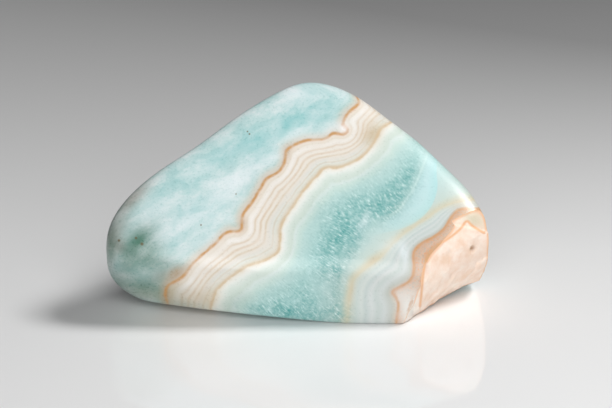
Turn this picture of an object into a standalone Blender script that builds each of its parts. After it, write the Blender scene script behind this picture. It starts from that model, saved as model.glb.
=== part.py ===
"""A polished chunk of banded blue aragonite with one rough broken face.

The stone is one solid. Its surface is worked out as its reach from the stone's middle in each
direction: broad polished faces run softly into one another, and one broken face cuts them off
with a crisp rim. Sizes are in millimetres up to the last step. X runs along the stone's length,
Y away from its leaning front face, Z up, and the stone lies on a flat cut at Z = 0.
"""

import bmesh
import bpy
import numpy as np
from mathutils import Vector

METRES_PER_MM = 0.001

# The stone's middle, above the centre of the ground that it covers.
MIDDLE = np.array((-1.3, -1.0, 11.3))

# The polished faces: outward direction, and distance from the middle.
POLISHED_FACES = {
    "front": ((0.04, -0.60, 0.80), 7.8),
    "front_foot": ((0.03, -1.00, -0.02), 14.2),
    "front_left_foot": ((-0.21, -0.74, -0.64), 16.2),
    "left_end": ((-0.97, -0.22, 0.10), 30.3),
    "back_left": ((-0.64, 0.74, 0.19), 15.0),
    "back_right": ((0.71, 0.58, 0.39), 23.1),
    "right_end": ((0.99, 0.15, -0.04), 30.7),
    "back": ((0.07, 1.00, -0.02), 16.1),
    "back_foot": ((0.10, 0.72, -0.68), 18.6),
    "underside": ((0.04, 0.05, -1.00), 16.3),
    "left_foot": ((-0.44, 0.11, -0.89), 22.2),
}
ROUNDNESS = 9.3  # the higher, the tighter the edges between the polished faces

# The underside is chipped off flat below the broken face, with a crisp edge.
CHIP_NORMAL = (0.24, -0.10, -0.965)
CHIP_DISTANCE = 16.6

# Slow waves that polishing by hand leaves: direction of travel, length of one wave, height.
POLISH_WAVES = (
    ((0.80, 0.30, 0.52), 18.0, 0.14),
    ((-0.42, 0.70, 0.58), 12.0, 0.08),
    ((0.15, -0.58, 0.80), 8.3, 0.04),
)

# The broken face: outward direction, distance from the stone's middle, and its own middle.
BREAK_NORMAL = (0.65, -0.75, -0.06)
BREAK_DISTANCE = 23.3
BREAK_MIDDLE = np.array((24.1, -9.7, 8.9))

# How the broken face departs from a plane. Places on it are (across, up) from its own middle.
BULGE_ACROSS, BULGE_UP, TWIST = 0.006, -0.044, 0.022  # mm of height per square mm
BULGE_REACH = 12.0  # the bulge levels off towards this distance from the face's middle
FACET_COUNT = 70
FACET_FIELD = 11.0  # the facets' middles lie within this of the face's middle, each way
FACET_TILT = 0.10  # steepest slope of a facet
FACET_STEP = 0.07  # most that a facet stands proud or back
FACET_EDGE = 1.2  # the higher, the sharper the ridges between facets
FACET_SEED = 11

LEDGE_START = (0.6, 5.5)  # a chip at the top right corner lies lower than the rest
LEDGE_TOWARDS = (0.42, 0.91)
LEDGE_LEFT = 1.6
LEDGE_DEPTH = 0.55
LEDGE_SLOPE = 0.7  # width of the step down

PITS = (  # place, radius and depth of the small holes in the broken face
    ((4.2, 0.7), 0.55, 0.55),
    ((-1.9, 2.6), 0.55, 0.12),
    ((1.1, -3.4), 0.65, 0.14),
)

# Rings run round an axis through the broken face's middle, and one ring lies on its rim.
SEGMENTS = 90
BREAK_RINGS = 13
BODY_RINGS = 49
BODY_FLATTENING = 0.62  # crowds the rings towards the stone's two ends
RIM_SEARCH = np.linspace(0.02, 1.3, 250)  # angles from the axis, in radians
RIM_HALVINGS = 24

STONE_COLOUR = (0.55, 0.76, 0.74, 1.0)  # pale aqua, the mean of its bands
STONE_ROUGHNESS = 0.28


def unit(vector):
    """The vector, or each row of an array of vectors, at length one."""
    vector = np.asarray(vector, float)
    return vector / np.linalg.norm(vector, axis=-1, keepdims=True)


FACE_NORMALS = unit([normal for normal, _ in POLISHED_FACES.values()])
FACE_DISTANCES = np.array([distance for _, distance in POLISHED_FACES.values()])

BREAK_OUT = unit(BREAK_NORMAL)
BREAK_ACROSS = unit(np.cross((0.0, 0.0, 1.0), BREAK_OUT))
BREAK_UP = np.cross(BREAK_OUT, BREAK_ACROSS)

CHIP_OUT = unit(CHIP_NORMAL)

# The axis of the rings, and two directions square to it.
AXIS = unit(BREAK_MIDDLE - MIDDLE)
AXIS_SIDE = unit(np.cross((0.0, 0.0, 1.0), AXIS))
AXIS_TOP = np.cross(AXIS, AXIS_SIDE)


def smooth_step(value):
    """0 up to value 0, 1 from value 1 on, and 3v^2 - 2v^3 between."""
    value = np.clip(value, 0.0, 1.0)
    return value * value * (3.0 - 2.0 * value)


def polished_reach(direction):
    """Reach of the polished outside along unit directions.

    Each face would be met at distance / (normal . direction). The faces are joined as
    (sum of (normal . direction / distance)^roundness)^(-1 / roundness), which follows the
    nearest face and rounds the edge where two faces are about as near. The slow waves of the
    polish are added along the same direction, and the chipped foot ends it sooner.
    """
    nearness = np.maximum(direction @ (FACE_NORMALS / FACE_DISTANCES[:, None]).T, 0.0)
    reach = (nearness**ROUNDNESS).sum(axis=-1) ** (-1.0 / ROUNDNESS)
    point = direction * reach[..., None]
    for travel, length, height in POLISH_WAVES:
        reach = reach + height * np.sin(2.0 * np.pi * (point @ unit(travel)) / length)
    chip = CHIP_DISTANCE / np.maximum(direction @ CHIP_OUT, 0.01)
    return np.minimum(reach, chip)


def facet_relief(across, up):
    """Height of the broken face's small flat facets.

    Each facet is a tilted plane round its own middle. At a point their heights are averaged
    with weights exp(-sharpness x squared distance to the facet's middle), so that the nearest
    facet rules and short slopes join it to its neighbours.
    """
    chance = np.random.default_rng(FACET_SEED)
    middles = chance.uniform(-FACET_FIELD, FACET_FIELD, (FACET_COUNT, 2))
    tilts = chance.uniform(-FACET_TILT, FACET_TILT, (FACET_COUNT, 2))
    steps = chance.uniform(-FACET_STEP, FACET_STEP, FACET_COUNT)
    away_across = across[..., None] - middles[:, 0]
    away_up = up[..., None] - middles[:, 1]
    squared = away_across**2 + away_up**2
    weight = np.exp(-FACET_EDGE * (squared - squared.min(axis=-1, keepdims=True)))
    height = steps + tilts[:, 0] * away_across + tilts[:, 1] * away_up
    return (weight * height).sum(axis=-1) / weight.sum(axis=-1)


def break_relief(across, up):
    """Height of the broken face over its plane: bulge, twist, facets, corner ledge and pits."""
    near_across = BULGE_REACH * np.tanh(across / BULGE_REACH)
    near_up = BULGE_REACH * np.tanh(up / BULGE_REACH)
    height = BULGE_ACROSS * near_across**2 + BULGE_UP * near_up**2 + TWIST * near_across * near_up
    height = height + facet_relief(across, up)
    towards = unit(LEDGE_TOWARDS)
    past = (across - LEDGE_START[0]) * towards[0] + (up - LEDGE_START[1]) * towards[1]
    in_ledge = smooth_step(past / LEDGE_SLOPE) * smooth_step((across - LEDGE_LEFT) / LEDGE_SLOPE)
    height = height - LEDGE_DEPTH * in_ledge
    for (pit_across, pit_up), radius, depth in PITS:
        squared = (across - pit_across) ** 2 + (up - pit_up) ** 2
        height = height - depth * np.exp(-squared / radius**2)
    return height


def broken_reach(direction):
    """Reach of the broken face along unit directions: where each meets its plane, moved by the
    relief there. A direction that leads away from the plane never meets it."""
    towards = direction @ BREAK_OUT
    meets = towards > 0.1
    towards = np.where(meets, towards, 1.0)
    place = MIDDLE + direction * (BREAK_DISTANCE / towards)[..., None] - BREAK_MIDDLE
    height = break_relief(place @ BREAK_ACROSS, place @ BREAK_UP)
    return np.where(meets, (BREAK_DISTANCE + height) / towards, np.inf)


def direction_at(tilt, turn):
    """Unit direction at an angle of tilt from the rings' axis and of turn about it."""
    along, out = np.cos(tilt)[..., None], np.sin(tilt)[..., None]
    side, top = np.cos(turn)[..., None], np.sin(turn)[..., None]
    return along * AXIS + out * (side * AXIS_SIDE + top * AXIS_TOP)


def rim_tilt(turn):
    """Angle from the axis at which the polished outside comes inside the broken face.

    It is bracketed on a fixed set of angles and then halved down.
    """
    tilt, turns = np.meshgrid(RIM_SEARCH, turn, indexing="ij")
    direction = direction_at(tilt, turns)
    inside = polished_reach(direction) < broken_reach(direction)
    first = np.maximum(inside.argmax(axis=0), 1)
    low, high = RIM_SEARCH[first - 1], RIM_SEARCH[first]
    for _ in range(RIM_HALVINGS):
        middle = (low + high) / 2.0
        direction = direction_at(middle, turn)
        is_past = polished_reach(direction) < broken_reach(direction)
        high = np.where(is_past, middle, high)
        low = np.where(is_past, low, middle)
    return high


def stone_surface(share, turn):
    """Points of the surface in mm, from the share of the way along the rings and the turn.

    Up to the rim's share the tilt grows evenly from 0 to the rim's own tilt and the point is on
    the broken face. From there it runs to the far end of the axis, evenly in the angle of the
    circle that a flattened ellipse comes from, and the point is on the polished outside.
    """
    rim_share = BREAK_RINGS / (BREAK_RINGS + BODY_RINGS)
    turns, row = np.unique(np.round(turn, 6), return_inverse=True)
    rim = rim_tilt(turns)[row.ravel()]
    on_break = share <= rim_share + 1e-6
    rim_circle = np.arctan2(np.sin(rim) / BODY_FLATTENING, np.cos(rim))
    progress = np.clip((share - rim_share) / (1.0 - rim_share), 0.0, 1.0)
    circle = rim_circle + (np.pi - rim_circle) * progress
    body_tilt = np.arctan2(BODY_FLATTENING * np.sin(circle), np.cos(circle))
    tilt = np.where(on_break, rim * share / rim_share, body_tilt)
    direction = direction_at(tilt, turn)
    reach = np.where(on_break, broken_reach(direction), polished_reach(direction))
    return MIDDLE + direction * reach[:, None]


def shape_stone(mesh):
    """Moves the points of a unit sphere with its poles on Z to the stone's surface."""
    sphere = np.empty(len(mesh.vertices) * 3, np.float32)
    mesh.vertices.foreach_get("co", sphere)
    sphere = sphere.reshape(-1, 3).astype(float)
    share = np.arccos(np.clip(sphere[:, 2], -1.0, 1.0)) / np.pi
    turn = np.arctan2(sphere[:, 1], sphere[:, 0])
    points = stone_surface(share, turn) * METRES_PER_MM
    mesh.vertices.foreach_set("co", points.astype(np.float32).ravel())


def split_outward(shape):
    """Splits each four-sided face along the diagonal that lies further from the stone's middle,
    so that the ridges between the polished faces run on unbroken."""
    middle = Vector(MIDDLE * METRES_PER_MM)
    for face in list(shape.faces):
        if len(face.verts) != 4:
            continue
        a, b, c, d = face.verts
        is_first = (a.co + c.co - 2.0 * middle).length > (b.co + d.co - 2.0 * middle).length
        bmesh.utils.face_split(face, *((a, c) if is_first else (b, d)))


def cut_base(shape):
    """Cuts the stone flat at Z = 0 and closes it with one plane face."""
    bmesh.ops.bisect_plane(
        shape,
        geom=shape.verts[:] + shape.edges[:] + shape.faces[:],
        dist=1e-7,
        plane_co=(0.0, 0.0, 0.0),
        plane_no=(0.0, 0.0, -1.0),
        clear_outer=True,
    )
    rim = [edge for edge in shape.edges if edge.is_boundary]
    for vertex in {vertex for edge in rim for vertex in edge.verts}:
        vertex.co.z = 0.0
    bmesh.ops.contextual_create(shape, geom=rim)
    bmesh.ops.recalc_face_normals(shape, faces=shape.faces[:])


def stone_material():
    """Polished banded aragonite, as one plain colour."""
    material = bpy.data.materials.new("banded_aragonite")
    material.use_nodes = True
    shader = material.node_tree.nodes["Principled BSDF"]
    shader.inputs["Base Color"].default_value = STONE_COLOUR
    shader.inputs["Roughness"].default_value = STONE_ROUGHNESS
    shader.inputs["Metallic"].default_value = 0.0
    return material


def make_stone(collection):
    """The whole stone, as one object."""
    mesh = bpy.data.meshes.new("aragonite_stone")
    shape = bmesh.new()
    rings = BREAK_RINGS + BODY_RINGS
    bmesh.ops.create_uvsphere(shape, u_segments=SEGMENTS, v_segments=rings, radius=1.0)
    shape.to_mesh(mesh)
    shape.free()
    shape_stone(mesh)

    shape = bmesh.new()
    shape.from_mesh(mesh)
    split_outward(shape)
    cut_base(shape)
    shape.to_mesh(mesh)
    shape.free()
    mesh.shade_smooth()
    mesh.set_sharp_from_angle(angle=0.6)
    mesh.materials.append(stone_material())

    stone = bpy.data.objects.new("aragonite_stone", mesh)
    collection.objects.link(stone)
    return stone


for old in list(bpy.data.objects):
    bpy.data.objects.remove(old, do_unlink=True)

blue_aragonite = bpy.data.collections.new("blue_aragonite")
bpy.context.scene.collection.children.link(blue_aragonite)
make_stone(blue_aragonite)
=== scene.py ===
"""Looks of a polished chunk of banded blue aragonite with one rough broken face.

The stone's surface is worked out again as its solid was, on a finer grid, and follows the
photograph closer at the front left of its foot and right of its top. Its growth layers are
measured from guide lines: each point of the surface learns how far it lies from
every line, and the materials draw the bands from those distances.
Lengths are in millimetres up to the last step, and places in the photograph are in its pixels.
"""

import bpy
import numpy as np
from mathutils import Matrix, Vector


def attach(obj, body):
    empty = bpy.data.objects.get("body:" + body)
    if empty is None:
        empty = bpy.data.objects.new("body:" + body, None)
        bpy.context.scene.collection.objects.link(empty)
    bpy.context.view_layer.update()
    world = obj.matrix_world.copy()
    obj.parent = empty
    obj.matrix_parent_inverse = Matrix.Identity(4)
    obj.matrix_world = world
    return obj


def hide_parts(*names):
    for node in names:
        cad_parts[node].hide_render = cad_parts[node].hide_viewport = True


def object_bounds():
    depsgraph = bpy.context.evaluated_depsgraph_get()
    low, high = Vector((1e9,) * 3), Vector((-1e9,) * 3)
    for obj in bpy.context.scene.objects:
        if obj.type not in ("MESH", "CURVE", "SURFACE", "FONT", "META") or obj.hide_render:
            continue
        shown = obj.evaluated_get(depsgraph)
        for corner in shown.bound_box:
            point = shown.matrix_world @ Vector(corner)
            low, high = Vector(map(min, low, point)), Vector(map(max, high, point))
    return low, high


METRES_PER_MM = 0.001
MM_PER_CM = 10.0

# The camera, as worked out from the stone and its mirror image in the photograph.
PHOTO_WIDTH, PHOTO_HEIGHT = 612, 408  # px
CAMERA_TARGET = np.array((1.18, -1.73, 15.12))  # shown at the middle of the photograph
CAMERA_DISTANCE = 372.6
CAMERA_ELEVATION = np.radians(20.0)
LENS, SENSOR_WIDTH = 139.2, 36.0
CLIP_NEAR, CLIP_FAR = 0.01, 10.0  # metres
CAMERA_BACK = np.array((0.0, -np.cos(CAMERA_ELEVATION), np.sin(CAMERA_ELEVATION)))
CAMERA_UP = np.array((0.0, np.sin(CAMERA_ELEVATION), np.cos(CAMERA_ELEVATION)))
MM_PER_PX = CAMERA_DISTANCE * SENSOR_WIDTH / LENS / PHOTO_WIDTH

# The stone's middle, above the centre of the ground that it covers.
MIDDLE = np.array((-1.3, -1.0, 11.3))

# The polished faces: outward direction, and distance from the middle.
POLISHED_FACES = {
    "front": ((0.04, -0.60, 0.80), 7.8),
    "front_foot": ((0.03, -1.00, -0.02), 14.25),
    "front_left_foot": ((-0.21, -0.74, -0.46), 17.9),
    "left_end": ((-0.97, -0.22, 0.10), 30.3),
    "back_left": ((-0.64, 0.74, 0.19), 15.09),
    "back_right": ((0.71, 0.58, 0.39), 23.35),
    "top_shoulder": ((0.41, -0.02, 0.91), 23.54),
    "right_end": ((0.99, 0.15, -0.04), 30.7),
    "back": ((0.07, 1.00, -0.02), 16.1),
    "back_foot": ((0.10, 0.72, -0.68), 18.6),
    "underside": ((0.04, 0.05, -1.00), 16.3),
    "left_foot": ((-0.44, 0.11, -0.89), 19.9),
}
ROUNDNESS = 9.3  # the higher, the tighter the edges between the polished faces

# The front left of the underside rises off the ground by up to a millimetre and a half.
RISE_NORMAL = (-0.105, -0.31, -1.0)
RISE_DISTANCE = 13.93
FOOT_EDGE = 0.20  # radius of the edges round the underside and its rise

# The underside is chipped off flat below the broken face, with a crisp edge.
CHIP_NORMAL = (0.24, -0.10, -0.965)
CHIP_DISTANCE = 16.6

# Slow waves that polishing by hand leaves: direction of travel, length of one wave, height.
POLISH_WAVES = (
    ((0.80, 0.30, 0.52), 18.0, 0.14),
    ((-0.42, 0.70, 0.58), 12.0, 0.08),
    ((0.15, -0.58, 0.80), 8.3, 0.04),
)

# The broken face: outward direction, distance from the stone's middle, and its own middle.
BREAK_NORMAL = (0.65, -0.75, -0.06)
BREAK_DISTANCE = 23.3
BREAK_MIDDLE = np.array((24.1, -9.7, 8.9))

# How the broken face departs from a plane. Places on it are (across, up) from its own middle.
BULGE_ACROSS, BULGE_UP, TWIST = 0.006, -0.044, 0.022  # mm of height per square mm
BULGE_REACH = 12.0  # the bulge levels off towards this distance from the face's middle
FACET_COUNT = 70
FACET_FIELD = 11.0  # the facets' middles lie within this of the face's middle, each way
FACET_TILT = 0.10  # steepest slope of a facet
FACET_STEP = 0.07  # most that a facet stands proud or back
FACET_EDGE = 1.2  # the higher, the sharper the ridges between facets
FACET_SEED = 11

LEDGE_START = (0.6, 5.5)  # a chip at the top right corner lies lower than the rest
LEDGE_TOWARDS = (0.42, 0.91)
LEDGE_LEFT = 1.6
LEDGE_DEPTH = 0.55
LEDGE_SLOPE = 0.7  # width of the step down

PITS = (  # place, radius and depth of the small holes in the broken face
    ((4.2, 0.7), 0.55, 0.55),
    ((-1.9, 2.6), 0.55, 0.12),
    ((1.1, -3.4), 0.65, 0.14),
)
DARK_PIT = PITS[0]  # the only one painted brown inside
PIT_BROWN_EDGE = 2.0  # the higher, the closer the brown keeps to the pit's middle

# Smallest cosine of the angle between a direction and a plane's outward direction that still
# counts as leading to the plane.
TO_CHIP, TO_BREAK, TO_BASE = 0.01, 0.1, 1e-3

# Rings run round an axis through the broken face's middle, and one ring lies on its rim.
SEGMENTS = 440
BREAK_RINGS = 62
BODY_RINGS = 160
BODY_FLATTENING = 0.62  # crowds the rings towards the stone's two ends
RIM_SEARCH = np.linspace(0.02, 1.3, 250)  # angles from the axis, in radians
RIM_HALVINGS = 24
SHARP_ANGLE = 0.6  # radians between two faces from which their edge isn't smoothed

# Guide lines through the growth layers, each from the stone's foot to its top, in photo pixels.
LINE_1 = (  # the orange-brown line on the left of the cream band
    (167, 303), (165, 292), (167.5, 285), (174, 281.7), (182, 277.7), (188, 270.5),
    (193, 263), (204, 253), (217, 242), (223, 234.7), (229.7, 230.7), (237.7, 232),
    (241.7, 229), (241.7, 222), (242.5, 214), (249, 206), (255, 198), (261.6, 185),
    (268, 177), (277.6, 172.5), (283, 166), (285.5, 158), (285.5, 150), (293.5, 145.4),
    (303, 140.6), (316, 139.3), (325.4, 139), (333, 132.6), (337, 133.2), (343.7, 134.4),
    (348.5, 131), (346.5, 127.5), (342, 125), (343, 121.5), (346, 114), (355.7, 107),
    (362, 100),
)
LINE_2 = (  # the tan line on its right
    (210.6, 308), (212, 300), (217, 289), (225, 281), (236, 273), (248.8, 265),
    (261.6, 261.8), (276, 254.6), (280, 247.4), (280, 228), (284, 218.7), (293.5, 206),
    (303, 190), (317.4, 175.7), (323.8, 167), (338, 167.7), (349, 164.5), (365, 155),
    (376.4, 139), (379.6, 129), (390.7, 122),
)
SHEET_EDGE = (  # the left side of the smooth cyan sheet, which a pale line follows
    (345, 262), (352, 242), (362, 226), (371, 221), (385, 217), (398, 211), (406, 200),
    (415, 186), (423, 166), (432, 140),
)
SHEET_END = (  # and its right side
    (345, 262), (354, 248), (366, 238), (384, 233), (402, 229), (417.5, 222), (431.5, 208),
    (438.5, 188.5), (436, 170), (440, 140),
)
STRAW_LINE = (  # the soft straw-coloured line between the mint and the grey layers
    (346, 320), (347, 306), (350, 282.5), (358.5, 271), (378, 258.7), (402, 233.5),
    (427, 218), (445, 205), (470, 200), (484, 199),
)
LINE_3 = (  # the orange line where the pink band starts
    (396.4, 321.8), (399, 306), (396.4, 298), (390.8, 291), (400.6, 286.7),
    (412, 279.7), (414.7, 267), (412, 253), (420, 243), (441, 233.4), (448, 222),
    (454, 212.4), (461, 208), (476, 209), (486, 209),
)
LINE_4 = (  # the orange line along the broken face
    (420, 306), (421.7, 291), (423, 274), (426, 258.7), (431.5, 249), (448, 239),
    (461, 229), (466.6, 219.4), (472, 226), (484, 233),
)
COURSE_LINE = (  # the layers' course through the teal: needles grow square to it
    (200, 400), (262, 330), (305, 285), (328, 250), (345, 215), (375, 190), (405, 160),
    (450, 95),
)
STREAK = (  # a short stain low in the glassy bit between lines 3 and 4
    (412, 296), (410, 306), (407, 314), (408, 324),
)
GUIDE_LINES = {
    "line_1": LINE_1,
    "line_2": LINE_2,
    "sheet_edge": SHEET_EDGE,
    "sheet_end": SHEET_END,
    "straw": STRAW_LINE,
    "line_3": LINE_3,
    "line_4": LINE_4,
    "streak": STREAK,
}
LINE_ROUNDING = 2  # times that each corner of a guide line is cut
CORNER_CUT = 0.25  # share of both its sides that a cut takes off
BELOW_PHOTO = (0.0, 600.0)  # px from a line's ends to the far points that part left from right
ABOVE_PHOTO = (420.0, -600.0)
LEAST_GAP = 1e-6  # mm between two guide lines, so that none is divided by zero

# The growth layers run on through the stone away from the camera. Behind the front face they
# lean and wander, by an amount that grows with the depth.
WANDER_START = 6.5  # mm behind the camera's target
WANDER_TOWARDS = np.array((0.75, 0.66))  # the way they lean, across and down the photograph
WANDER_LEAN = 0.55  # share of the depth
WANDER_WAVES = (  # direction of travel, length in mm, share of the depth
    ((0.7, 0.3, 0.7), 21.0, 0.60),
    ((-0.5, 0.4, 0.8), 13.0, 0.33),
    ((0.9, 0.5, -0.2), 8.0, 0.15),
)

# Soft patches of colour: middle in photo px, long and short radius in px, turn in degrees
# from level (a right-hand end that dips is positive), and strength.
PATCHES = {
    "teal": (
        ((404, 181), (20, 12), -50, 0.85), ((388, 202), (22, 16), -40, 0.85),
        ((371, 206), (20, 15), -20, 0.75), ((345, 218), (22, 15), -55, 0.75),
        ((334, 241), (24, 13), -70, 0.90), ((354, 232), (15, 11), -50, 0.90),
        ((333, 270), (13, 9), 10, 0.90), ((316, 258), (24, 16), -60, 0.35),
        ((347, 250), (16, 11), -60, 0.60), ((300, 285), (32, 18), -30, 0.25),
        # The long low patch at (285, 312) is partly painted shade along the foot, where the stone
        # turns under.
        ((335, 296), (10, 22), 5, 0.55), ((285, 312), (40, 10), 5, 0.95),
        ((312, 308), (12, 16), 0, 0.45), ((302, 296), (22, 14), -20, 0.45),
        ((338, 314), (14, 10), 2, 0.55), ((272, 297), (18, 12), -30, 0.35),
        ((412, 155), (18, 10), -60, 0.30), ((322, 212), (26, 14), -55, 0.25),
        ((370, 178), (30, 10), -38, 0.20),
    ),
    "sky": (
        ((315, 114), (28, 11), -28, 0.60), ((285, 125), (28, 12), -33, 0.50),
        ((254, 142), (20, 11), -35, 0.60), ((228, 152), (24, 9), -33, 0.45),
        ((200, 172), (26, 12), -38, 0.30), ((190, 208), (22, 14), -30, 0.35),
        ((303, 100), (18, 9), -25, 0.40), ((262, 155), (14, 10), -20, 0.35),
        ((160, 196), (22, 12), -38, 0.25), ((215, 212), (20, 10), -60, 0.25),
        ((176, 240), (16, 9), -40, 0.30),
    ),
    # Slate patches darken the left end and the lower left: partly the stone's own grey-green,
    # partly painted shade where those sides turn from the light.
    "slate_and_shade": (
        ((139, 241), (20, 11), -48, 1.00), ((148, 254), (16, 9), -35, 0.70),
        ((156, 264), (22, 9), -12, 0.55),
        ((129, 259), (9, 14), 30, 0.60), ((144, 288), (30, 11), 12, 0.80),
        ((110, 250), (6, 18), 10, 0.60), ((240, 300), (16, 9), -20, 0.20),
        ((180, 304), (24, 5), 6, 0.40), ((116, 282), (8, 10), -30, 0.30),
        ((108, 262), (5, 14), 10, 0.30), ((140, 262), (24, 12), -30, 0.20),
    ),
    "warm": (
        ((150, 296), (26, 7), 8, 0.25), ((170, 289), (9, 9), 0, 0.45),
        ((372, 134), (9, 12), 30, 0.85),
        ((208, 297), (12, 10), -40, 0.55), ((188, 298), (18, 8), 0, 0.25),
        ((465, 203), (14, 6), -10, 0.50), ((474, 220), (12, 9), 20, 0.90),
        ((351, 292), (3, 12), 8, 0.40), ((373, 261), (8, 3), -35, 0.50),
    ),
    # Ash patches lay a dark warm grey on the left end and its upper left rim: partly the stone's
    # own grey, partly painted shade where it faces away from the light.
    "ash_and_shade": (
        ((118, 226), (12, 19), 30, 0.50), ((133, 198), (24, 7), -45, 0.85),
        ((111, 242), (8, 18), 10, 0.70), ((120, 247), (9, 8), 0, 0.65),
        ((122, 284), (14, 9), 40, 0.30), ((160, 276), (13, 8), -30, 0.55),
    ),
    "rust": (
        ((176, 273), (10, 6), -35, 0.95), ((166, 296), (3, 9), 0, 0.60),
        ((243, 224), (4, 8), 8, 0.45), ((287, 153), (4, 8), 15, 0.45),
    ),
    "cloud": (
        ((308, 88), (30, 9), -6, 1.00),
        ((228, 188), (34, 13), -40, 0.60), ((246, 172), (22, 9), -38, 0.45),
        ((180, 226), (30, 13), -35, 0.45), ((326, 130), (22, 6), -18, 0.70),
        ((274, 158), (12, 7), -30, 0.50), ((298, 132), (16, 5), -25, 0.45),
        ((208, 240), (18, 7), -42, 0.65), ((152, 213), (18, 8), -36, 0.50),
        ((404, 252), (4, 11), -12, 0.75), ((372, 300), (5, 16), 0, 0.15),
        ((364, 222), (5, 12), 30, 0.45), ((390, 245), (12, 6), -35, 0.55),
    ),
    "sheet": (
        ((430, 183), (30, 20), -70, 1.0), ((416, 208), (20, 12), -45, 0.80),
        ((396, 221), (16, 8), -25, 0.55),
    ),
    "glass": (((408, 306), (11, 20), 6, 1.0), ((400, 296), (7, 9), 0, 0.6)),
    "bubble": (((343.6, 128.6), (4.6, 4.2), 0, 1.0),),
}

# Brown specks and a short crack: middle in photo px, and radius in mm.
SPECKS = (
    ((119, 240.5), 0.30), ((136, 238), 0.28), ((142, 244), 0.36), ((236, 194), 0.16),
    ((201, 225), 0.20), ((247.5, 131.5), 0.18), ((249.5, 134), 0.20), ((476, 226), 0.30),
)
SPECK_COLOUR, SPECK_COVER = "6e5a34", 0.95
SPECK_CORE = 0.2  # share of the radius within which a speck covers most


def unit(vector):
    """The vector, or each row of an array of vectors, at length one."""
    vector = np.asarray(vector, float)
    return vector / np.linalg.norm(vector, axis=-1, keepdims=True)


FACE_NORMALS = unit([normal for normal, _ in POLISHED_FACES.values()])
FACE_DISTANCES = np.array([distance for _, distance in POLISHED_FACES.values()])

BREAK_OUT = unit(BREAK_NORMAL)
BREAK_ACROSS = unit(np.cross((0.0, 0.0, 1.0), BREAK_OUT))
BREAK_UP = np.cross(BREAK_OUT, BREAK_ACROSS)

CHIP_OUT = unit(CHIP_NORMAL)

# The axis of the rings, and two directions square to it.
AXIS = unit(BREAK_MIDDLE - MIDDLE)
AXIS_SIDE = unit(np.cross((0.0, 0.0, 1.0), AXIS))
AXIS_TOP = np.cross(AXIS, AXIS_SIDE)


def smooth_step(value):
    """0 up to value 0, 1 from value 1 on, and 3v^2 - 2v^3 between."""
    value = np.clip(value, 0.0, 1.0)
    return value * value * (3.0 - 2.0 * value)


def polished_reach(direction):
    """Reach of the polished outside along unit directions.

    Each face would be met at distance / (normal . direction). The faces are joined as
    (sum of (normal . direction / distance)^roundness)^(-1 / roundness), which follows the
    nearest face and rounds the edge where two faces are about as near. The slow waves of the
    polish are added along the same direction, and the chipped foot ends it sooner.
    """
    nearness = np.maximum(direction @ (FACE_NORMALS / FACE_DISTANCES[:, None]).T, 0.0)
    reach = (nearness**ROUNDNESS).sum(axis=-1) ** (-1.0 / ROUNDNESS)
    point = direction * reach[..., None]
    for travel, length, height in POLISH_WAVES:
        reach = reach + height * np.sin(2.0 * np.pi * (point @ unit(travel)) / length)
    chip = CHIP_DISTANCE / np.maximum(direction @ CHIP_OUT, TO_CHIP)
    return np.minimum(reach, chip)


def facet_relief(across, up):
    """Height of the broken face's small flat facets.

    Each facet is a tilted plane round its own middle. At a point their heights are averaged
    with weights exp(-sharpness x squared distance to the facet's middle), so that the nearest
    facet rules and short slopes join it to its neighbours.
    """
    chance = np.random.default_rng(FACET_SEED)
    middles = chance.uniform(-FACET_FIELD, FACET_FIELD, (FACET_COUNT, 2))
    tilts = chance.uniform(-FACET_TILT, FACET_TILT, (FACET_COUNT, 2))
    steps = chance.uniform(-FACET_STEP, FACET_STEP, FACET_COUNT)
    away_across = across[..., None] - middles[:, 0]
    away_up = up[..., None] - middles[:, 1]
    squared = away_across**2 + away_up**2
    weight = np.exp(-FACET_EDGE * (squared - squared.min(axis=-1, keepdims=True)))
    height = steps + tilts[:, 0] * away_across + tilts[:, 1] * away_up
    return (weight * height).sum(axis=-1) / weight.sum(axis=-1)


def break_relief(across, up):
    """Height of the broken face over its plane: bulge, twist, facets, corner ledge and pits."""
    near_across = BULGE_REACH * np.tanh(across / BULGE_REACH)
    near_up = BULGE_REACH * np.tanh(up / BULGE_REACH)
    height = BULGE_ACROSS * near_across**2 + BULGE_UP * near_up**2 + TWIST * near_across * near_up
    height = height + facet_relief(across, up)
    towards = unit(LEDGE_TOWARDS)
    past = (across - LEDGE_START[0]) * towards[0] + (up - LEDGE_START[1]) * towards[1]
    in_ledge = smooth_step(past / LEDGE_SLOPE) * smooth_step((across - LEDGE_LEFT) / LEDGE_SLOPE)
    height = height - LEDGE_DEPTH * in_ledge
    for (pit_across, pit_up), radius, depth in PITS:
        squared = (across - pit_across) ** 2 + (up - pit_up) ** 2
        height = height - depth * np.exp(-squared / radius**2)
    return height


def broken_reach(direction):
    """Reach of the broken face along unit directions: where each meets its plane, moved by the
    relief there. A direction that leads away from the plane never meets it."""
    towards = direction @ BREAK_OUT
    meets = towards > TO_BREAK
    towards = np.where(meets, towards, 1.0)
    place = MIDDLE + direction * (BREAK_DISTANCE / towards)[..., None] - BREAK_MIDDLE
    height = break_relief(place @ BREAK_ACROSS, place @ BREAK_UP)
    return np.where(meets, (BREAK_DISTANCE + height) / towards, np.inf)


def down_to_base(direction, reach):
    """The reach, cut off at the ground and at the underside's rise: the smooth least of it and
    the ways there, least - radius x log(sum of exp((least - way) / radius))."""
    ground = MIDDLE[2] / np.maximum(-direction[..., 2], TO_BASE)
    rise = RISE_DISTANCE / np.maximum(direction @ unit(RISE_NORMAL), TO_BASE)
    ways = np.stack((reach, ground, rise))
    least = ways.min(axis=0)
    total = np.exp((least - ways) / FOOT_EDGE).sum(axis=0)
    return np.minimum(least - FOOT_EDGE * np.log(total), ground)


def direction_at(tilt, turn):
    """Unit direction at an angle of tilt from the rings' axis and of turn about it."""
    along, out = np.cos(tilt)[..., None], np.sin(tilt)[..., None]
    side, top = np.cos(turn)[..., None], np.sin(turn)[..., None]
    return along * AXIS + out * (side * AXIS_SIDE + top * AXIS_TOP)


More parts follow.
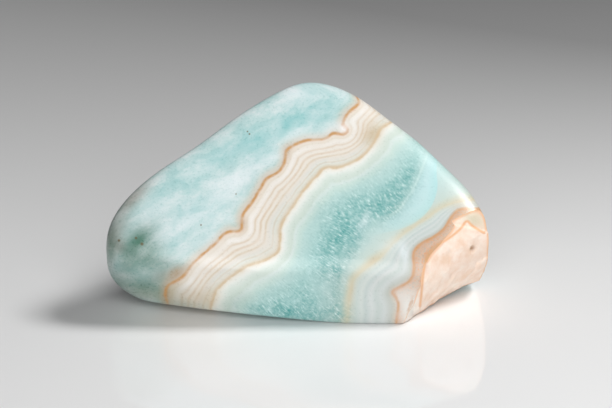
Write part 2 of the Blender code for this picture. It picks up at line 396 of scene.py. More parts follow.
def rim_tilt(turn):
    """Angle from the axis at which the polished outside comes inside the broken face.

    It is bracketed on a fixed set of angles and then halved down.
    """
    tilt, turns = np.meshgrid(RIM_SEARCH, turn, indexing="ij")
    direction = direction_at(tilt, turns)
    inside = polished_reach(direction) < broken_reach(direction)
    first = np.maximum(inside.argmax(axis=0), 1)
    low, high = RIM_SEARCH[first - 1], RIM_SEARCH[first]
    for _ in range(RIM_HALVINGS):
        middle = (low + high) / 2.0
        direction = direction_at(middle, turn)
        is_past = polished_reach(direction) < broken_reach(direction)
        high = np.where(is_past, middle, high)
        low = np.where(is_past, low, middle)
    return high


def stone_points():
    """Points of the surface in mm, one row for each ring from the broken face's middle to the
    far end of the axis, and one column for each turn.

    Up to the rim's ring the tilt grows evenly from 0 to the rim's own tilt and the point is on
    the broken face. From there it runs to the far end of the axis, evenly in the angle of the
    circle that a flattened ellipse comes from, and the point is on the polished outside.
    """
    turn = 2.0 * np.pi * np.arange(SEGMENTS) / SEGMENTS
    rim = rim_tilt(turn)
    on_break = np.linspace(0.0, 1.0, BREAK_RINGS + 1)[:, None] * rim
    rim_circle = np.arctan2(np.sin(rim) / BODY_FLATTENING, np.cos(rim))
    progress = np.linspace(0.0, 1.0, BODY_RINGS + 1)[1:, None]
    circle = rim_circle + (np.pi - rim_circle) * progress
    on_body = np.arctan2(BODY_FLATTENING * np.sin(circle), np.cos(circle))
    turns = np.broadcast_to(turn, on_break.shape)
    break_direction = direction_at(on_break, turns)
    break_reach = down_to_base(break_direction, broken_reach(break_direction))
    body_direction = direction_at(on_body, np.broadcast_to(turn, on_body.shape))
    body_reach = down_to_base(body_direction, polished_reach(body_direction))
    rows = (
        MIDDLE + break_direction * break_reach[..., None],
        MIDDLE + body_direction * body_reach[..., None],
    )
    return np.concatenate(rows)


def stone_faces(points):
    """Corner numbers of the three-sided faces of the closed grid, points outward, and whether
    each is on the broken face.

    The first and the last ring are one point each. Every four-sided cell is split along the
    diagonal that lies further from the stone's middle.
    """
    rings = BREAK_RINGS + BODY_RINGS
    last = 1 + (rings - 1) * SEGMENTS
    column = np.arange(SEGMENTS)
    following = (column + 1) % SEGMENTS
    ring = 1 + np.arange(rings - 2)[:, None] * SEGMENTS
    a, b = ring + column, ring + following
    c, d = b + SEGMENTS, a + SEGMENTS
    near, far = points[1:-2], points[2:-1]
    through_a = (near + np.roll(far, -1, axis=1)) / 2.0 - MIDDLE
    through_b = (np.roll(near, -1, axis=1) + far) / 2.0 - MIDDLE
    is_first = np.linalg.norm(through_a, axis=-1) > np.linalg.norm(through_b, axis=-1)
    one = np.where(is_first[..., None], np.stack((a, d, c), -1), np.stack((a, d, b), -1))
    two = np.where(is_first[..., None], np.stack((a, c, b), -1), np.stack((b, d, c), -1))
    cells = np.stack((one, two), axis=2)
    start = np.stack((np.zeros_like(column), 1 + column, 1 + following), -1)
    end_ring = last - SEGMENTS
    end = np.stack((end_ring + column, np.full_like(column, last), end_ring + following), -1)
    faces = np.concatenate((start, cells.reshape(-1, 3), end))
    broken = np.zeros(len(faces), bool)
    broken[: SEGMENTS + (BREAK_RINGS - 1) * SEGMENTS * 2] = True
    return faces, broken


def rounded(line):
    """The guide line with a share of both its sides cut off at every corner, as often as set."""
    points = np.array(line, float)
    for _ in range(LINE_ROUNDING):
        first, second = points[:-1], points[1:]
        after = (1.0 - CORNER_CUT) * first + CORNER_CUT * second
        before = CORNER_CUT * first + (1.0 - CORNER_CUT) * second
        cuts = np.stack((after, before), axis=1)
        points = np.concatenate((points[:1], cuts.reshape(-1, 2), points[-1:]))
    return points


def beside(place, line):
    """How far photo places lie beside a guide line and along it, both in mm.

    The distance is the least one to any of the line's pieces, positive on its right, and the
    way along is the length up to the nearest point. A place is left of the line where a level
    ray from it to the right crosses the line, drawn on past both its ends, an odd number of
    times.
    """
    points = rounded(line)
    nearest = np.full(len(place), np.inf)
    along = np.zeros(len(place))
    length = 0.0
    for start, end in zip(points[:-1], points[1:]):
        way = end - start
        share = np.clip((place - start) @ way / (way @ way), 0.0, 1.0)
        squared = ((place - start - share[:, None] * way) ** 2).sum(axis=-1)
        size = np.linalg.norm(way)
        along = np.where(squared < nearest, length + share * size, along)
        nearest = np.minimum(nearest, squared)
        length += size
    ends = (points[:1] + BELOW_PHOTO, points, points[-1:] + ABOVE_PHOTO)
    drawn_on = np.concatenate(ends)
    crossings = np.zeros(len(place), int)
    for start, end in zip(drawn_on[:-1], drawn_on[1:]):
        passes = (start[1] > place[:, 1]) != (end[1] > place[:, 1])
        rise = end[1] - start[1]
        share = (place[:, 1] - start[1]) / np.where(rise == 0.0, 1.0, rise)
        crossings += passes & (start[0] + share * (end[0] - start[0]) > place[:, 0])
    side = np.where(crossings % 2 == 1, -1.0, 1.0)
    return side * np.sqrt(nearest) * MM_PER_PX, along * MM_PER_PX


def photo_places(points):
    """Where the camera shows the points, in photo px, and how far behind its target they lie.

    Across and up from the target are divided by the distance from the camera, and multiplied
    by the lens.
    """
    away = points - CAMERA_TARGET
    depth = -(away @ CAMERA_BACK)
    size = CAMERA_DISTANCE / (CAMERA_DISTANCE + depth) / MM_PER_PX
    across = PHOTO_WIDTH / 2.0 + away[:, 0] * size
    down = PHOTO_HEIGHT / 2.0 - (away @ CAMERA_UP) * size
    return np.stack((across, down), axis=-1), depth


def layer_places(points):
    """Photo places that the growth layers are read at, and the points' depths. In front the
    places are the points' own, and behind they lean and wander: the lean and slow sine waves
    are added up and multiplied by the depth past a start."""
    place, depth = photo_places(points)
    past = np.maximum(depth - WANDER_START, 0.0)
    shift = np.full(len(points), WANDER_LEAN)
    for travel, length, share in WANDER_WAVES:
        shift = shift + share * np.sin(2.0 * np.pi * (points @ unit(travel)) / length)
    return place + (past * shift / MM_PER_PX)[:, None] * WANDER_TOWARDS, depth


def patch_strength(place, patches):
    """How strongly a kind of patch colours each place: 1 minus the product, over the patches,
    of 1 - strength x exp(-(squared distance measured in the patch's own radii))."""
    bare = np.ones(len(place))
    for middle, radii, turn, strength in patches:
        angle = np.radians(turn)
        away = place - np.array(middle, float)
        along = away @ np.array((np.cos(angle), np.sin(angle))) / radii[0]
        across = away @ np.array((-np.sin(angle), np.cos(angle))) / radii[1]
        bare = bare * (1.0 - strength * np.exp(-(along**2) - across**2))
    return 1.0 - bare


def layer_number(line_1, line_2, straw, line_3, line_4):
    """The place between guide lines as one number: 0 on line 1, 1 on line 2, 2 on the straw
    line, 3 on line 3 and 4 on line 4. Between two lines the fraction is the distance from the
    first over the sum of both distances. Left of line 1 it is minus the distance in cm, and
    right of line 4 it is 4 plus the distance in cm."""
    number = (np.minimum(line_1, 0.0) + np.maximum(line_4, 0.0)) / MM_PER_CM
    lines = (line_1, line_2, straw, line_3, line_4)
    for left, right in zip(lines[:-1], lines[1:]):
        before, after = np.maximum(left, 0.0), np.maximum(-right, 0.0)
        share = before / np.maximum(before + after, LEAST_GAP)
        number = number + np.where(left > 0.0, share, 0.0)
    return number


def spread_places(place, depth):
    """Photo places from its middle, in mm, with the depth as a third length."""
    middle = np.array((PHOTO_WIDTH, PHOTO_HEIGHT)) / 2.0
    return np.concatenate(((place - middle) * MM_PER_PX, depth[:, None]), axis=-1)


def surface_marks(points):
    """The values that the materials read at each point, by name."""
    place, depth = layer_places(points)
    marks = {name: beside(place, line)[0] for name, line in GUIDE_LINES.items()}
    marks["layer"] = layer_number(
        marks["line_1"], marks["line_2"], marks["straw"], marks["line_3"], marks["line_4"]
    )
    for name, patches in PATCHES.items():
        marks[name] = patch_strength(place, patches)
    across, along = beside(place, COURSE_LINE)
    marks["growth"] = np.stack((along, across, depth), axis=-1)
    marks["spread"] = spread_places(place, depth)
    return marks


def linear(hex_colour):
    """An sRGB colour such as d2e0d9 as linear red, green, blue and 1."""
    shares = [int(hex_colour[start : start + 2], 16) / 255.0 for start in (0, 2, 4)]
    return (
        *(c / 12.92 if c <= 0.04045 else ((c + 0.055) / 1.055) ** 2.4 for c in shares),
        1.0,
    )


def add(tree, kind, inputs=None, stops=None, **settings):
    """Adds a node of a kind, with its settings. inputs gives each socket, by name or number,
    a value or the socket that feeds it, and stops are a ramp's places and hex colours."""
    made = tree.nodes.new(kind)
    for name, value in settings.items():
        setattr(made, name, value)
    for socket, value in (inputs or {}).items():
        if isinstance(value, bpy.types.NodeSocket):
            tree.links.new(value, made.inputs[socket])
        else:
            made.inputs[socket].default_value = value
    if stops:
        ramp = made.color_ramp.elements
        while len(ramp) < len(stops):
            ramp.new(0.5)
        for element, (place, colour) in zip(ramp, stops):
            element.position = place
            element.color = linear(colour)
    return made


# The cream band from line 1 to line 2, as shares of its width: white and cream laminae a few
# tenths of a mm thick with thin tan ones between, then a pale grey-green sheet.
CREAM_LAMINAE = (
    (0.00, "d9b896"), (0.04, "e2cdb9"), (0.09, "e6dbce"), (0.14, "e1d7c9"), (0.18, "eae5dd"),
    (0.25, "eeeae5"), (0.30, "e6e0d7"), (0.34, "dacbb8"), (0.38, "e7e1d8"), (0.43, "e9e4dc"),
    (0.49, "d9c8b3"), (0.54, "e7e1d7"), (0.58, "e5dfd5"), (0.62, "d7c9b4"), (0.67, "e2ddd4"),
    (0.73, "dddbd4"), (0.78, "dedfd8"), (0.82, "d4cebf"), (0.86, "dcded6"), (0.91, "d9d7cb"),
    (0.96, "d6ccb9"), (1.00, "d6c8b0"),
)

# From line 2 on, in layer numbers: white, a green-grey sheet, mint and teal, mint again, the
# straw line, grey and white layers, the grainy pink band, and what the right end shows.
OUTER_LAYERS = (
    (1.00, "dacbb2"), (1.015, "e7e1d5"), (1.04, "ebebe5"), (1.065, "e3e8e2"), (1.10, "d6e0d8"),
    (1.14, "d0dcd3"), (1.17, "d9e4e0"), (1.21, "cee0d9"), (1.28, "c3dcd8"), (1.45, "bfddda"),
    (1.65, "bfdad7"), (1.82, "c5d8d4"), (1.92, "c8d6cf"), (1.98, "cecfbd"), (2.03, "d1cdb6"),
    (2.10, "cfd3c9"), (2.20, "cad4cf"), (2.30, "d2d9d5"), (2.38, "c3cecb"), (2.50, "d2d7d5"),
    (2.60, "c5cfcb"), (2.74, "cfd5d3"), (2.88, "bec3bc"), (2.96, "c5bbad"), (3.00, "cea484"),
    (3.20, "d0b097"), (3.60, "d3bca9"), (4.00, "d1a37d"), (4.06, "dec2ab"), (4.16, "e2d7cc"),
    (4.40, "e4e8e1"), (5.00, "d2e4e1"),
)
OUTER_START, OUTER_END = 1.0, 5.0

# Lines drawn over the layers: the mark they are measured from, half their width in mm, how
# far they stay full, their colour and how fully they cover.
DRAWN_LINES = (
    ("line_1", 0.39, 0.04, "c99962", 0.95),
    ("line_2", 0.38, 0.04, "d2b995", 0.60),
    ("straw", 0.80, 0.05, "dad0b6", 0.24),
    ("line_3", 0.40, 0.04, "d0a072", 0.75),
    ("line_4", 0.38, 0.04, "d3a577", 0.70),
    ("streak", 0.34, 0.05, "c99e78", 0.70),
)
LINE_WANDER = 0.20  # mm that a line strays from its guide line
LINE_WANDER_LENGTH = 1.6  # mm
LAYER_STRAY = 0.06  # layer numbers within which a lamina's place strays
NOISE_MIDDLE = 0.5
FROST_SHARE = 0.20  # of the mottling, and the clouds have the rest
NEEDLE_STRETCH = (4.6, 1.0, 1.0)  # along the growth, across it and in depth


VECTOR_MARKS = ("growth", "spread")


def marks_read(tree, *names):
    """The sockets of the stone's marks that a material reads, by name."""
    marks = {}
    for name in names:
        socket = "Vector" if name in VECTOR_MARKS else "Fac"
        marks[name] = add(tree, "ShaderNodeAttribute", attribute_name=name).outputs[socket]
    return marks


def painted(tree, colour, *coats):
    """The colour under its coats. Each coat is a tint, or another colour, and the factors whose
    product says how far it covers. A mix takes its factor at socket 0, the colour below at 6
    and the coat at 7, and gives the result at 2."""
    for tint, factor, *others in coats:
        for other in others:
            factor = add(tree, "ShaderNodeMath", {0: factor, 1: other}, operation="MULTIPLY",
                         use_clamp=True).outputs[0]
        laid = tint if isinstance(tint, bpy.types.NodeSocket) else linear(tint)
        colour = add(tree, "ShaderNodeMix", {0: factor, 6: colour, 7: laid}, data_type="RGBA"
                     ).outputs[2]
    return colour


def with_specks(tree, colour, spread):
    """The colour with the brown specks, each round its own photo place."""
    flat = add(tree, "ShaderNodeVectorMath", {0: spread, 1: (1.0, 1.0, 0.0)},
               operation="MULTIPLY").outputs["Vector"]
    places = np.array([place for place, _ in SPECKS], float)
    middles = spread_places(places, np.zeros(len(places)))
    for (_, radius), middle in zip(SPECKS, middles):
        away = add(tree, "ShaderNodeVectorMath", {0: flat, 1: middle},
                   operation="DISTANCE").outputs["Value"]
        factor = add(tree, "ShaderNodeMapRange", {"Value": away, "From Min": radius,
                     "From Max": SPECK_CORE * radius, "To Max": SPECK_COVER}).outputs["Result"]
        colour = painted(tree, colour, (SPECK_COLOUR, factor))
    return colour


def polished_material():
    """Blue aragonite, cut and polished by hand to a satin gloss.

    Fine needles of aragonite grown side by side in layers: milky and see-through for a
    millimetre or so, with cloudy white spots, silky teal layers whose needles show as short
    pale strokes, and iron-stained lines. The gloss is soft and even.
    """
    material = bpy.data.materials.new("polished_banded_aragonite")
    material.use_nodes = True
    tree = material.node_tree
    tree.nodes.clear()
    marks = marks_read(tree, *GUIDE_LINES, *PATCHES, "layer", *VECTOR_MARKS)
    growth, spread = marks["growth"], marks["spread"]

    # Clouds 3 mm across and 6 mm long, drawn out towards the upper right, and frost of 0.4 mm.
    along_clouds = add(tree, "ShaderNodeMapping", {"Vector": spread,
                       "Rotation": (0.0, 0.0, np.radians(-35.0)), "Scale": (1.9, 0.9, 1.0)},
                       vector_type="TEXTURE").outputs["Vector"]
    clouds = add(tree, "ShaderNodeTexNoise", {"Vector": along_clouds, "Scale": 0.34,
                 "Detail": 9.0, "Roughness": 0.67, "Distortion": 0.3}).outputs["Fac"]
    frost = add(tree, "ShaderNodeTexNoise", {"Vector": spread, "Scale": 2.4, "Detail": 4.0,
                "Roughness": 0.68}).outputs["Fac"]
    # Needles: noise drawn out along the growth, 0.2 mm wide and 1 mm long.
    drawn_out = add(tree, "ShaderNodeVectorMath", {0: growth, 1: NEEDLE_STRETCH},
                    operation="MULTIPLY").outputs["Vector"]
    needles = add(tree, "ShaderNodeTexNoise", {"Vector": drawn_out, "Scale": 1.0, "Detail": 3.0,
                  "Roughness": 0.6}).outputs["Fac"]

    mottle = add(tree, "ShaderNodeMix", {0: FROST_SHARE, 2: clouds, 3: frost}).outputs[0]
    colour = add(tree, "ShaderNodeValToRGB", {"Fac": mottle}, stops=(
        (0.34, "a6cac9"), (0.43, "b7d4d3"), (0.50, "c5dbda"), (0.58, "d4e2e2"), (0.68, "e4ebea"),
    )).outputs["Color"]

    # A lamina's place strays a little, so its thickness isn't even.
    stray = add(tree, "ShaderNodeTexNoise", {"Vector": spread, "Scale": 0.55, "Detail": 2.0}
                ).outputs["Fac"]
    layer = add(tree, "ShaderNodeMath", {0: stray, 1: LAYER_STRAY, 2: marks["layer"]},
                operation="MULTIPLY_ADD").outputs[0]
    layer = add(tree, "ShaderNodeMath", {0: layer, 1: NOISE_MIDDLE * LAYER_STRAY},
                operation="SUBTRACT").outputs[0]
    cream = add(tree, "ShaderNodeValToRGB", {"Fac": layer}, stops=CREAM_LAMINAE).outputs["Color"]
    faded = add(tree, "ShaderNodeMapRange", {"Value": clouds, "From Min": 0.44,
                "From Max": 0.62, "To Max": 0.55}).outputs["Result"]
    cream = painted(tree, cream, ("e6dfd5", faded))
    outer_share = add(tree, "ShaderNodeMapRange", {"Value": layer, "From Min": OUTER_START,
                      "From Max": OUTER_END}).outputs["Result"]
    outer_stops = [
        ((place - OUTER_START) / (OUTER_END - OUTER_START), tint) for place, tint in OUTER_LAYERS
    ]
    outer = add(tree, "ShaderNodeValToRGB", {"Fac": outer_share}, stops=outer_stops
                ).outputs["Color"]

    # The smooth cyan sheet, between a pale line and its sharp end, deeper towards the end.
    in_sheet = add(tree, "ShaderNodeMapRange", {"Value": marks["sheet_edge"], "From Min": 0.0,
                   "From Max": 0.5}).outputs["Result"]
    before_end = add(tree, "ShaderNodeMapRange", {"Value": marks["sheet_end"], "From Min": 0.08,
                     "From Max": -0.12}).outputs["Result"]
    near_end = add(tree, "ShaderNodeMapRange", {"Value": marks["sheet_end"], "From Min": -1.6,
                   "From Max": -0.1, "To Max": 0.55}).outputs["Result"]
    outer = painted(
        tree, outer,
        ("c6e3e4", in_sheet, before_end, marks["sheet"]),
        ("a6d8d8", in_sheet, before_end, marks["sheet"], near_end),
    )

    # Teal lies only in the outer layers, frosted over and crossed by its pale needles.
    bare = add(tree, "ShaderNodeMapRange", {"Value": needles, "From Min": 0.46,
               "From Max": 0.66, "To Min": 1.0, "To Max": 0.35}).outputs["Result"]
    unfrosted = add(tree, "ShaderNodeMapRange", {"Value": frost, "From Min": 0.46,
                    "From Max": 0.66, "To Min": 1.0, "To Max": 0.60}).outputs["Result"]
    blotches = add(tree, "ShaderNodeTexNoise", {"Vector": spread, "Scale": 0.62, "Detail": 3.0,
                   "Roughness": 0.6}).outputs["Fac"]
    in_blotch = add(tree, "ShaderNodeMapRange", {"Value": blotches, "From Min": 0.36,
                    "From Max": 0.60, "To Min": 1.0, "To Max": 0.65}).outputs["Result"]
    strokes = add(tree, "ShaderNodeMapRange", {"Value": needles, "From Min": 0.58,
                  "From Max": 0.69, "To Max": 0.88}).outputs["Result"]
    edge_away = add(tree, "ShaderNodeMath", {0: marks["sheet_edge"]}, operation="ABSOLUTE"
                    ).outputs[0]
    edge_line = add(tree, "ShaderNodeMapRange", {"Value": edge_away, "From Min": 0.30,
                    "From Max": 0.05, "To Max": 0.60}).outputs["Result"]
    outer = painted(
        tree, outer,
        ("2b9794", marks["teal"], bare, unfrosted, in_blotch),
        ("dceeec", marks["teal"], strokes),
        ("dcefed", edge_line, marks["sheet"]),
    )

    # Outside the first line a grey-green shadow fades into a pinkish cream.
    shadow = add(tree, "ShaderNodeMapRange", {"Value": marks["line_1"], "From Min": -2.0,
                 "From Max": -0.4, "To Max": 0.60}).outputs["Result"]
    halo = add(tree, "ShaderNodeMapRange", {"Value": marks["line_1"], "From Min": -1.5,
               "From Max": -0.25, "To Max": 0.85}, interpolation_type="SMOOTHSTEP"
               ).outputs["Result"]
    colour = painted(tree, colour, ("b0b7a0", shadow, clouds), ("d8cdbf", halo))

    # The three zones, each from its line on.
    for mark, zone in (("line_1", cream), ("line_2", outer)):
        past = add(tree, "ShaderNodeMapRange", {"Value": marks[mark], "From Min": -0.10,
                   "From Max": 0.10}).outputs["Result"]
        colour = painted(tree, colour, (zone, past))

    # Patches, broken up by the mottling.
    for name, tint, low, high in (
        # ash is partly painted shade on the left end and its upper left rim
        ("sky", "82c4c5", 0.62, 0.40), ("ash_and_shade", "958f84", 0.75, 0.40),
        # slate is partly painted shade on the left end and lower left
        ("slate_and_shade", "4f7d6b", 0.78, 0.48),
        ("warm", "cbb694", 0.70, 0.36), ("rust", "ad8f6c", 0.70, 0.40),
        ("cloud", "e6eef0", 0.38, 0.60),
    ):
        broken_up = add(tree, "ShaderNodeMapRange", {"Value": mottle, "From Min": low,
                        "From Max": high, "To Min": 0.60, "To Max": 1.0}).outputs["Result"]
        colour = painted(tree, colour, (tint, marks[name], broken_up))

    # The pink band between lines 3 and 4 is speckled with grey and orange grains.
    after_3 = add(tree, "ShaderNodeMapRange", {"Value": marks["line_3"], "From Min": 0.0,
                  "From Max": 0.5, "To Max": 0.75}).outputs["Result"]
    before_4 = add(tree, "ShaderNodeMapRange", {"Value": marks["line_4"], "From Min": 0.6,
                   "From Max": 0.0}).outputs["Result"]
    grains = add(tree, "ShaderNodeTexNoise", {"Vector": spread, "Scale": 3.4, "Detail": 2.0,
                 "Roughness": 0.6}).outputs["Fac"]
    for low, high, tint in ((0.54, 0.66, "b9aea4"), (0.46, 0.34, "d99d70")):
        grain = add(tree, "ShaderNodeMapRange", {"Value": grains, "From Min": low,
                    "From Max": high}).outputs["Result"]
        colour = painted(tree, colour, (tint, grain, after_3, before_4))
    colour = painted(tree, colour, ("e6e4df", marks["glass"]))

    # The drawn lines, each straying a little from its guide line and paler in places.
    wander = add(tree, "ShaderNodeTexNoise", {"Vector": spread,
                 "Scale": 1.0 / LINE_WANDER_LENGTH, "Detail": 2.0}).outputs["Fac"]
    wander = add(tree, "ShaderNodeMath", {0: wander, 1: NOISE_MIDDLE}, operation="SUBTRACT"
                 ).outputs[0]
    stained = add(tree, "ShaderNodeMapRange", {"Value": stray, "From Min": 0.62,
                  "From Max": 0.42, "To Min": 0.45, "To Max": 1.0}).outputs["Result"]
    for mark, half_width, full, tint, strength in DRAWN_LINES:
        place = add(tree, "ShaderNodeMath", {0: wander, 1: 2.0 * LINE_WANDER, 2: marks[mark]},
                    operation="MULTIPLY_ADD").outputs[0]
        away = add(tree, "ShaderNodeMath", {0: place}, operation="ABSOLUTE").outputs[0]
        factor = add(tree, "ShaderNodeMapRange", {"Value": away, "From Min": half_width,
                     "From Max": full, "To Min": 0.0, "To Max": strength},
                     interpolation_type="SMOOTHSTEP").outputs["Result"]
        colour = painted(tree, colour, (tint, factor, stained))
    colour = painted(tree, colour, ("f6f1ef", marks["bubble"]))
    colour = with_specks(tree, colour, spread)

    # A satin polish: the needles take it unevenly, and leave a relief too low to see by itself.
    roughness = add(tree, "ShaderNodeMapRange", {"Value": frost, "From Min": 0.3,
                    "From Max": 0.7, "To Min": 0.24, "To Max": 0.38}).outputs["Result"]
    bump = add(tree, "ShaderNodeBump", {"Strength": 0.06, "Distance": 0.0002,
               "Height": frost}).outputs["Normal"]
    shader = add(tree, "ShaderNodeBsdfPrincipled", {
        "Base Color": colour, "Roughness": roughness, "Normal": bump, "IOR": 1.60,
        "Subsurface Weight": 0.50, "Subsurface Radius": (1.0, 1.0, 0.95),
        "Subsurface Scale": 0.0018,
    })
    add(tree, "ShaderNodeOutputMaterial", {"Surface": shader.outputs["BSDF"]})
    return material


def broken_material():
    """Aragonite broken open and left rough.

    The break runs along one growth layer, which iron has stained pink. It is dull, softly
    mottled and finely granular, with orange along its rim.
    """
    material = bpy.data.materials.new("broken_pink_aragonite")
    material.use_nodes = True
    tree = material.node_tree
    tree.nodes.clear()
    marks = marks_read(tree, "line_4", "glass", "warm", "from_rim", "pit", "spread")
    spread = marks["spread"]
    mottle = add(tree, "ShaderNodeTexNoise", {"Vector": spread, "Scale": 0.50, "Detail": 5.0,
                 "Roughness": 0.6}).outputs["Fac"]
    colour = add(tree, "ShaderNodeValToRGB", {"Fac": mottle}, stops=(
        (0.30, "eaccb4"), (0.45, "f0d8c6"), (0.58, "f4e1d2"), (0.72, "f7e9dd"),
    )).outputs["Color"]

    # Left of line 4 the break cuts through white, glassy layers, and above it through a
    # yellowish corner.
    before = add(tree, "ShaderNodeMapRange", {"Value": marks["line_4"], "From Min": 0.10,
                 "From Max": -0.15}).outputs["Result"]
    colour = painted(tree, colour, ("e9e6e0", marks["glass"]), ("d2cab2", before, marks["warm"]))

    # The orange rim and line, and the brown in the pit.
    near_rim = add(tree, "ShaderNodeMapRange", {"Value": marks["from_rim"], "From Min": -0.70,
                   "From Max": -0.05, "To Max": 0.75}, interpolation_type="SMOOTHSTEP"
                   ).outputs["Result"]
    away = add(tree, "ShaderNodeMath", {0: marks["line_4"]}, operation="ABSOLUTE").outputs[0]
    on_line = add(tree, "ShaderNodeMapRange", {"Value": away, "From Min": 0.34,
                  "From Max": 0.05, "To Max": 0.85}, interpolation_type="SMOOTHSTEP"
                  ).outputs["Result"]
    orange = add(tree, "ShaderNodeMath", {0: near_rim, 1: on_line}, operation="MAXIMUM"
                 ).outputs[0]
    colour = painted(tree, colour, ("e4ae80", orange), ("a98568", marks["pit"]))

    grit = add(tree, "ShaderNodeTexNoise", {"Vector": spread, "Scale": 3.2, "Detail": 4.0,
               "Roughness": 0.65}).outputs["Fac"]
    bump = add(tree, "ShaderNodeBump", {"Strength": 0.30, "Distance": 0.0003, "Height": grit}
               ).outputs["Normal"]
    roughness = add(tree, "ShaderNodeMapRange", {"Value": grit, "From Min": 0.3,
                    "From Max": 0.7, "To Min": 0.50, "To Max": 0.70}).outputs["Result"]
    shader = add(tree, "ShaderNodeBsdfPrincipled", {
        "Base Color": colour, "Roughness": roughness, "Normal": bump, "IOR": 1.60,
        "Subsurface Weight": 0.20, "Subsurface Radius": (1.0, 0.85, 0.75),
        "Subsurface Scale": 0.0006,
    })
    add(tree, "ShaderNodeOutputMaterial", {"Surface": shader.outputs["BSDF"]})
    return material


def rim_distance(points):
    """Distance in mm of each point of the grid from its own column's point of the rim,
    negative on the broken face."""
    away = np.linalg.norm(points - points[BREAK_RINGS], axis=-1)
    away[:BREAK_RINGS] *= -1.0
    return away


def pit_depth(points):
    """How deep in the dark pit each point lies: 1 at its middle, falling to 0 outside as
    exp(-edge x squared distance / squared radius)."""
    place = points - BREAK_MIDDLE
    across, up = place @ BREAK_ACROSS, place @ BREAK_UP
    (middle_across, middle_up), radius, _ = DARK_PIT
    squared = (across - middle_across) ** 2 + (up - middle_up) ** 2
    return np.exp(-PIT_BROWN_EDGE * squared / radius**2)


def as_corners(grid):
    """A grid's values as one row for each corner: the first and last ring have one each."""
    flat = grid[1:-1].reshape(-1, *grid.shape[2:])
    return np.concatenate((grid[0, :1], flat, grid[-1, :1]))


def make_stone(cad_box):
    """Makes the whole stone: its closed grid, held inside the solid's box, with its marks."""
    points = stone_points()
    faces, broken = stone_faces(points)
    low, high = (np.array(corner) / METRES_PER_MM for corner in cad_box)
    corners = np.clip(as_corners(points), low, high)

    mesh = bpy.data.meshes.new("banded_stone")
    mesh.from_pydata(corners * METRES_PER_MM, [], faces)
    mesh.materials.append(polished_material())
    mesh.materials.append(broken_material())
    mesh.polygons.foreach_set("material_index", broken.astype(np.int32))
    mesh.shade_smooth()
    mesh.set_sharp_from_angle(angle=SHARP_ANGLE)

    marks = surface_marks(corners)
    marks["from_rim"] = as_corners(rim_distance(points))
    marks["pit"] = as_corners(pit_depth(points))
    for name, values in marks.items():
        is_vector = values.ndim == 2
        kind = "FLOAT_VECTOR" if is_vector else "FLOAT"
        mark = mesh.attributes.new(name, kind, "POINT")
        mark.data.foreach_set("vector" if is_vector else "value", values.astype(np.float32).ravel())

    stone = bpy.data.objects.new("banded_stone", mesh)
    bpy.context.scene.collection.objects.link(stone)
    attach(stone, "root")
    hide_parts("aragonite_stone")


# The floor: a smooth pale grey sheet, its grey painted darker by the distance behind the origin,
# which counts for more towards the right: painted shade where the light falls off towards the back.
FLOOR_NEAR, FLOOR_FAR, FLOOR_SIDE = -500.0, 900.0, 900.0  # mm
FLOOR_SKEW = 240.0  # mm to the right over which a distance counts twice
FLOOR_FALLOFF_GREYS = (  # Y in mm, colour
    (-60.0, "f7f7f7"), (-15.0, "f2f2f2"), (20.0, "ebebeb"), (60.0, "dcdcdc"),
    (110.0, "c5c5c5"), (180.0, "9c9c9c"), (400.0, "6f6f6f"),
)


def floor_material():
    """Smooth pale acrylic sheet with a faint clear mirror image, its grey painted darker towards
    the back and the right as painted shade of the light's falloff.
    """
    material = bpy.data.materials.new("pale_acrylic_floor")
    material.use_nodes = True
    tree = material.node_tree
    tree.nodes.clear()
    place = add(tree, "ShaderNodeTexCoord").outputs["Object"]
    parts = add(tree, "ShaderNodeSeparateXYZ", {"Vector": place}).outputs
    weight = add(tree, "ShaderNodeMath", {0: parts["X"], 1: 1.0 / (FLOOR_SKEW * METRES_PER_MM),
                 2: 1.0}, operation="MULTIPLY_ADD").outputs[0]
    back = add(tree, "ShaderNodeMath", {0: parts["Y"], 1: weight}, operation="MULTIPLY"
               ).outputs[0]
    first, last = FLOOR_FALLOFF_GREYS[0][0], FLOOR_FALLOFF_GREYS[-1][0]
    share = add(tree, "ShaderNodeMapRange", {"Value": back, "From Min": first * METRES_PER_MM,
                "From Max": last * METRES_PER_MM}).outputs["Result"]
    stops = [((y_mm - first) / (last - first), grey) for y_mm, grey in FLOOR_FALLOFF_GREYS]
    grey = add(tree, "ShaderNodeValToRGB", {"Fac": share}, stops=stops).outputs["Color"]
    shader = add(tree, "ShaderNodeBsdfPrincipled", {
        "Base Color": grey, "Roughness": 0.06, "IOR": 1.45,
    })
    add(tree, "ShaderNodeOutputMaterial", {"Surface": shader.outputs["BSDF"]})
    return material


def make_floor():
    """The floor, as one flat sheet under the stone."""
    corners = [
        (-FLOOR_SIDE, FLOOR_NEAR, 0.0), (FLOOR_SIDE, FLOOR_NEAR, 0.0),
        (FLOOR_SIDE, FLOOR_FAR, 0.0), (-FLOOR_SIDE, FLOOR_FAR, 0.0),
    ]
    mesh = bpy.data.meshes.new("floor")
    mesh.from_pydata(np.array(corners) * METRES_PER_MM, [], [(0, 1, 2, 3)])
    mesh.materials.append(floor_material())
    floor = bpy.data.objects.new("floor", mesh)
    bpy.context.scene.collection.objects.link(floor)
    return floor


SOFTBOXES = (  # name, place in mm, what it faces, side in mm, watts
    ("key", (320.0, 70.0, 440.0), (0.0, 0.0, 5.0), 170.0, 2.2),
    ("fill", (70.0, -610.0, 260.0), (0.0, 0.0, 10.0), 700.0, 4.3),
)
WORLD_GREY, WORLD_STRENGTH = 0.8, 0.06


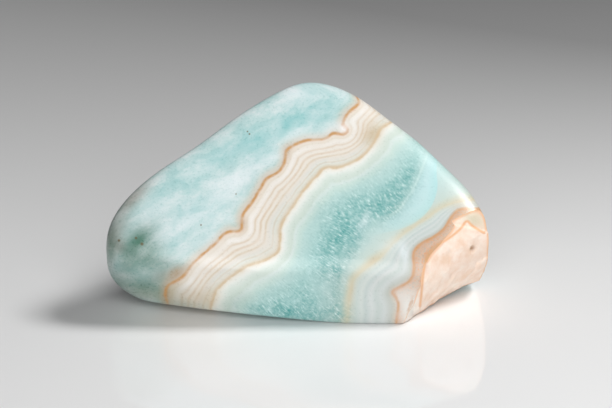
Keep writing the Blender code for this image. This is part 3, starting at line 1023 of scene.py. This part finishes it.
def make_lights():
    """A softbox high on the right, a wide one low in front, and a dim pale surround."""
    lights = []
    for name, place, faces, side, watts in SOFTBOXES:
        light = bpy.data.lights.new(name, "AREA")
        light.shape = "SQUARE"
        light.size = side * METRES_PER_MM
        light.energy = watts
        lamp = bpy.data.objects.new(name, light)
        towards = Vector(faces) - Vector(place)
        turn = towards.to_track_quat("-Z", "Y").to_matrix().to_4x4()
        lamp.matrix_world = Matrix.Translation(Vector(place) * METRES_PER_MM) @ turn
        bpy.context.scene.collection.objects.link(lamp)
        lights.append(lamp)
    world = bpy.data.worlds.new("pale_surround")
    world.use_nodes = True
    background = world.node_tree.nodes["Background"]
    background.inputs["Color"].default_value = (WORLD_GREY, WORLD_GREY, WORLD_GREY, 1.0)
    background.inputs["Strength"].default_value = WORLD_STRENGTH
    bpy.context.scene.world = world
    return lights


def make_camera():
    """The camera, in the place and with the lens worked out for the photograph's."""
    camera = bpy.data.objects.new("camera", bpy.data.cameras.new("camera"))
    camera.data.lens = LENS
    camera.data.sensor_width = SENSOR_WIDTH
    camera.data.clip_start, camera.data.clip_end = CLIP_NEAR, CLIP_FAR
    place = (CAMERA_TARGET + CAMERA_DISTANCE * CAMERA_BACK) * METRES_PER_MM
    right = (1.0, 0.0, 0.0)
    turn = Matrix((right, CAMERA_UP, CAMERA_BACK)).transposed().to_4x4()
    camera.matrix_world = Matrix.Translation(Vector(place)) @ turn
    bpy.context.scene.collection.objects.link(camera)
    bpy.context.scene.camera = camera


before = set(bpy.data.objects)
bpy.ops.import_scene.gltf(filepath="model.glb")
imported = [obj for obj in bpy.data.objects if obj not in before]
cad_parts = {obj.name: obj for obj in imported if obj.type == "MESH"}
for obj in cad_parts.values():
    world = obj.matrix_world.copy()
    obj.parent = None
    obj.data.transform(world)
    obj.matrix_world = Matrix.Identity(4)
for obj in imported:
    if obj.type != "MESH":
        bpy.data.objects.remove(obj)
cad_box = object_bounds()

make_stone(cad_box)
make_floor()
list(make_lights())
make_camera()
bpy.context.scene.view_settings.view_transform = "Standard"
